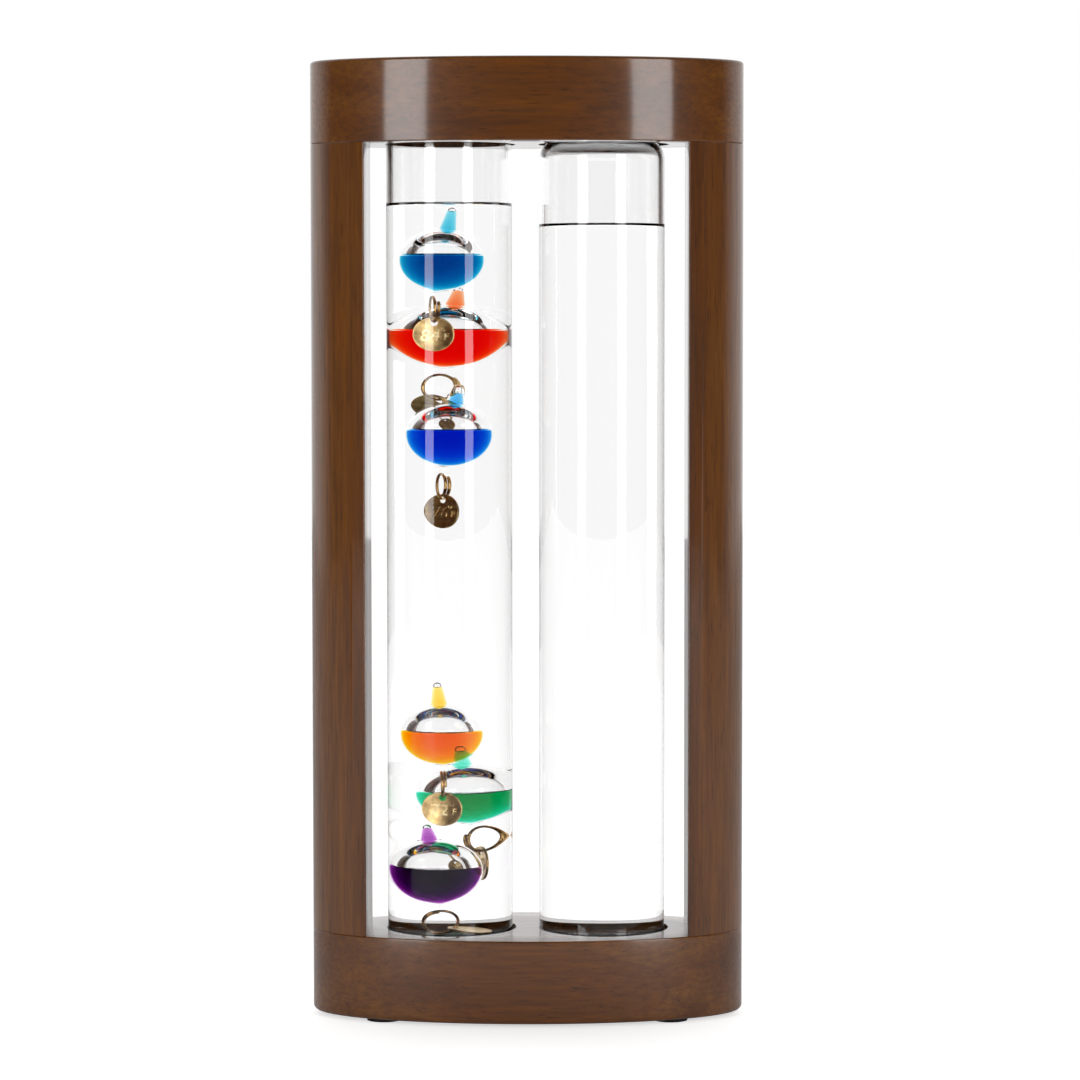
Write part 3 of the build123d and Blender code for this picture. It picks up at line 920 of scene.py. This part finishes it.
def stamped_tag(globe, hooked):
    """A struck disc with a raised rim, a hole, and a number with a degree mark and a letter on its front."""
    bearing = Matrix.Translation(hooked) @ turned("Z", globe.tag_bearing) @ turned("X", globe.tag_tilt)
    place = bearing @ turned("Y", globe.tag_roll) @ shifted(0, 0, -TAG_DROP)
    facing = place @ turned("X", 90)
    half = TAG_THICKNESS / 2
    front = half - TAG_FIELD_DEPTH
    upper_rim = [
        (TAG_RADIUS, half - TAG_EASE), (TAG_RADIUS - TAG_EASE, half), (TAG_RADIUS - TAG_RIM_OUTER, half),
        (TAG_RADIUS - TAG_RIM_INNER, front), (0, front),
    ]
    lower_rim = [(radius, -height) for radius, height in reversed(upper_rim)]
    bm = bmesh.new()
    lathe(bm, lower_rim + upper_rim, GLOBE_SEGMENTS, facing)
    disc = new_object(f"stamped_tag_{globe.number}", bm, 0)
    punch = facing @ shifted(0, TAG_HOLE_OFFSET, 0)
    cut(disc, cutter(punch, -1, 1, TAG_HOLE_RADIUS, SMALL_SEGMENTS))
    bm = bmesh.new()
    bm.from_mesh(disc.data)
    for face in bm.faces:
        face.material_index = 0
    # The number, letter and degree mark go under the second material, the lighter brass with its painted
    # highlight
    add_text(bm, globe.number, NUMBER_SIZE, facing @ shifted(*NUMBER_AT, front))
    add_text(bm, "F", LETTER_SIZE, facing @ shifted(*LETTER_AT, front))
    start = len(bm.faces)
    torus(bm, facing @ shifted(*DEGREE_AT, front), DEGREE_RADIUS, DEGREE_WIRE, 20, 8)
    under_second(bm, start)
    old = disc.data
    disc.data = bpy.data.meshes.new(f"stamped_tag_{globe.number}")
    bm.to_mesh(disc.data)
    bm.free()
    bpy.data.meshes.remove(old)
    smooth(disc, TAG_SHARP_ANGLE)
    dress(disc, f"tag_{globe.number}", "tag_metal", [f"tag_{globe.number}"], TAG, NUMERAL_PAINTED_HIGHLIGHT)


# Put together: the frame
top = bow_block("top_block_wood", CEILING, TOP, ARRIS, TOP_EDGE, CEILING - 1, CEILING + SOCKET_DEPTH)
dress(top, "frame", "wood", ["top_block"], TOP_WOOD)
bottom = bow_block("bottom_block_wood", BASE, FLOOR, BOTTOM_EDGE, ARRIS, BASE - 1, FLOOR + 1)
dress(bottom, "frame", "wood", ["bottom_block"], BOTTOM_WOOD)
dress(stile("left_stile_wood", -1), "frame", "wood", ["left_stile"], LEFT_WOOD)
dress(stile("right_stile_wood", 1), "frame", "wood", ["right_stile"], RIGHT_WOOD)

KEPT_SOLIDS = {
    "frame_dowels": DOWEL_WOOD, "left_base_plug": DOWEL_WOOD, "right_base_plug": DOWEL_WOOD,
    "left_base_cushion": CORK, "right_base_cushion": CORK,
    "left_top_cushion": FOAM, "right_top_cushion": FOAM, "felt_feet": FELT,
}
for node, material in KEPT_SOLIDS.items():
    data = frame["nodes"][node].data
    data.materials.clear()
    data.materials.append(material)

# Put together: the tubes
for name, level in (("thermometer", THERMOMETER_LEVEL), ("storm", STORM_LEVEL)):
    low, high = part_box(f"{name}_tube")
    tube = glass_tube(f"{name}_glass", low, high, level + MENISCUS)
    dress(tube, "frame", "glass", [f"{name}_tube"], GLASS_OUTSIDE, GLASS_STEP)
    column = liquid(f"{name}_clear_liquid", low, high, level)
    dress(column, "frame", "clear_liquid", [f"{name}_liquid"], LIQUID_TOP, LIQUID_SIDE)

# Put together: the globes
for globe in GLOBES:
    eye = JOINTS[f"ring_{globe.number}_swing"]
    lean = turned("X", -globe.lean_back) @ turned("Y", globe.lean_right)
    centre = eye - lean @ mm(0, 0, -globe.radius - EYE_DROP)
    place = Matrix.Translation(centre) @ lean
    level = centre.z + globe.fill * MM
    globe_glass(globe, place, level)
    globe_dye(globe, place, level)
    wire_ring(globe, eye)
    stamped_tag(globe, JOINTS[f"tag_{globe.number}_swing"])

# Floor, which glows only as seen by the camera or through glass, so that it runs into the white behind it
bm = bmesh.new()
for x, y in FLOOR_CORNERS:
    bm.verts.new((x, y, 0))
bm.faces.new(bm.verts)
floor = new_object("floor", bm, 0)
shader = Shader("floor_white")
shader.set(Base_Color=(0.86, 0.86, 0.86, 1), Roughness=0.7, Emission_Color=(1, 1, 1, 1))
seen_by = shader.nodes.new("ShaderNodeLightPath")
to_eye = shader.math("MAXIMUM", seen_by.outputs["Is Camera Ray"], seen_by.outputs["Is Transmission Ray"])
shader.to("Emission Strength", shader.math("MULTIPLY", to_eye, FLOOR_GLOW))
floor.data.materials.append(shader.material)


# Two tall soft lamps in front
def softbox(name, azimuth):
    turn = math.radians(azimuth)
    width, height = SOFTBOX_SIZE
    data = bpy.data.lights.new(name, "AREA")
    data.shape = "RECTANGLE"
    data.size = width
    data.size_y = height
    data.energy = SOFTBOX_RADIANCE * math.pi * width * height
    lamp = bpy.data.objects.new(name, data)
    scene.collection.objects.link(lamp)
    x, y = SOFTBOX_DISTANCE * math.sin(turn), -SOFTBOX_DISTANCE * math.cos(turn)
    lamp.location = (x, y, SOFTBOX_ELEVATION)
    lamp.rotation_mode = "QUATERNION"
    lamp.rotation_quaternion = (SOFTBOX_AIM - lamp.location).to_track_quat("-Z", "Y")


for name, azimuth in SOFTBOX_AZIMUTHS.items():
    softbox(name, azimuth)

# White surroundings: white to the camera, and dark in front to everything else
world = bpy.data.worlds.new("surroundings")
scene.world = world
world.use_nodes = True
nodes, links = world.node_tree.nodes, world.node_tree.links
nodes.clear()
output = nodes.new("ShaderNodeOutputWorld")
background = nodes.new("ShaderNodeBackground")
background.inputs["Color"].default_value = (1, 1, 1, 1)
links.new(background.outputs[0], output.inputs["Surface"])
path = nodes.new("ShaderNodeLightPath")
direction = nodes.new("ShaderNodeTexCoord")
split = nodes.new("ShaderNodeSeparateXYZ")
links.new(direction.outputs["Generated"], split.inputs[0])
behind = nodes.new("ShaderNodeMapRange")
behind.inputs["From Min"].default_value = DARK_ENDS_AT
behind.inputs["From Max"].default_value = WHITE_STARTS_AT
behind.inputs["To Min"].default_value = DARK_FRONT
behind.inputs["To Max"].default_value = 1.0
links.new(split.outputs["Y"], behind.inputs["Value"])
mix = nodes.new("ShaderNodeMix")
mix.data_type = "FLOAT"
links.new(path.outputs["Is Camera Ray"], mix.inputs[0])
links.new(behind.outputs[0], mix.inputs[2])
mix.inputs[3].default_value = 1.0
links.new(mix.outputs[0], background.inputs["Strength"])

# Light has many clear surfaces to pass
scene.cycles.max_bounces = 32
scene.cycles.transmission_bounces = 32
scene.cycles.glossy_bounces = 16
scene.cycles.transparent_max_bounces = 32
scene.view_settings.view_transform = "Standard"
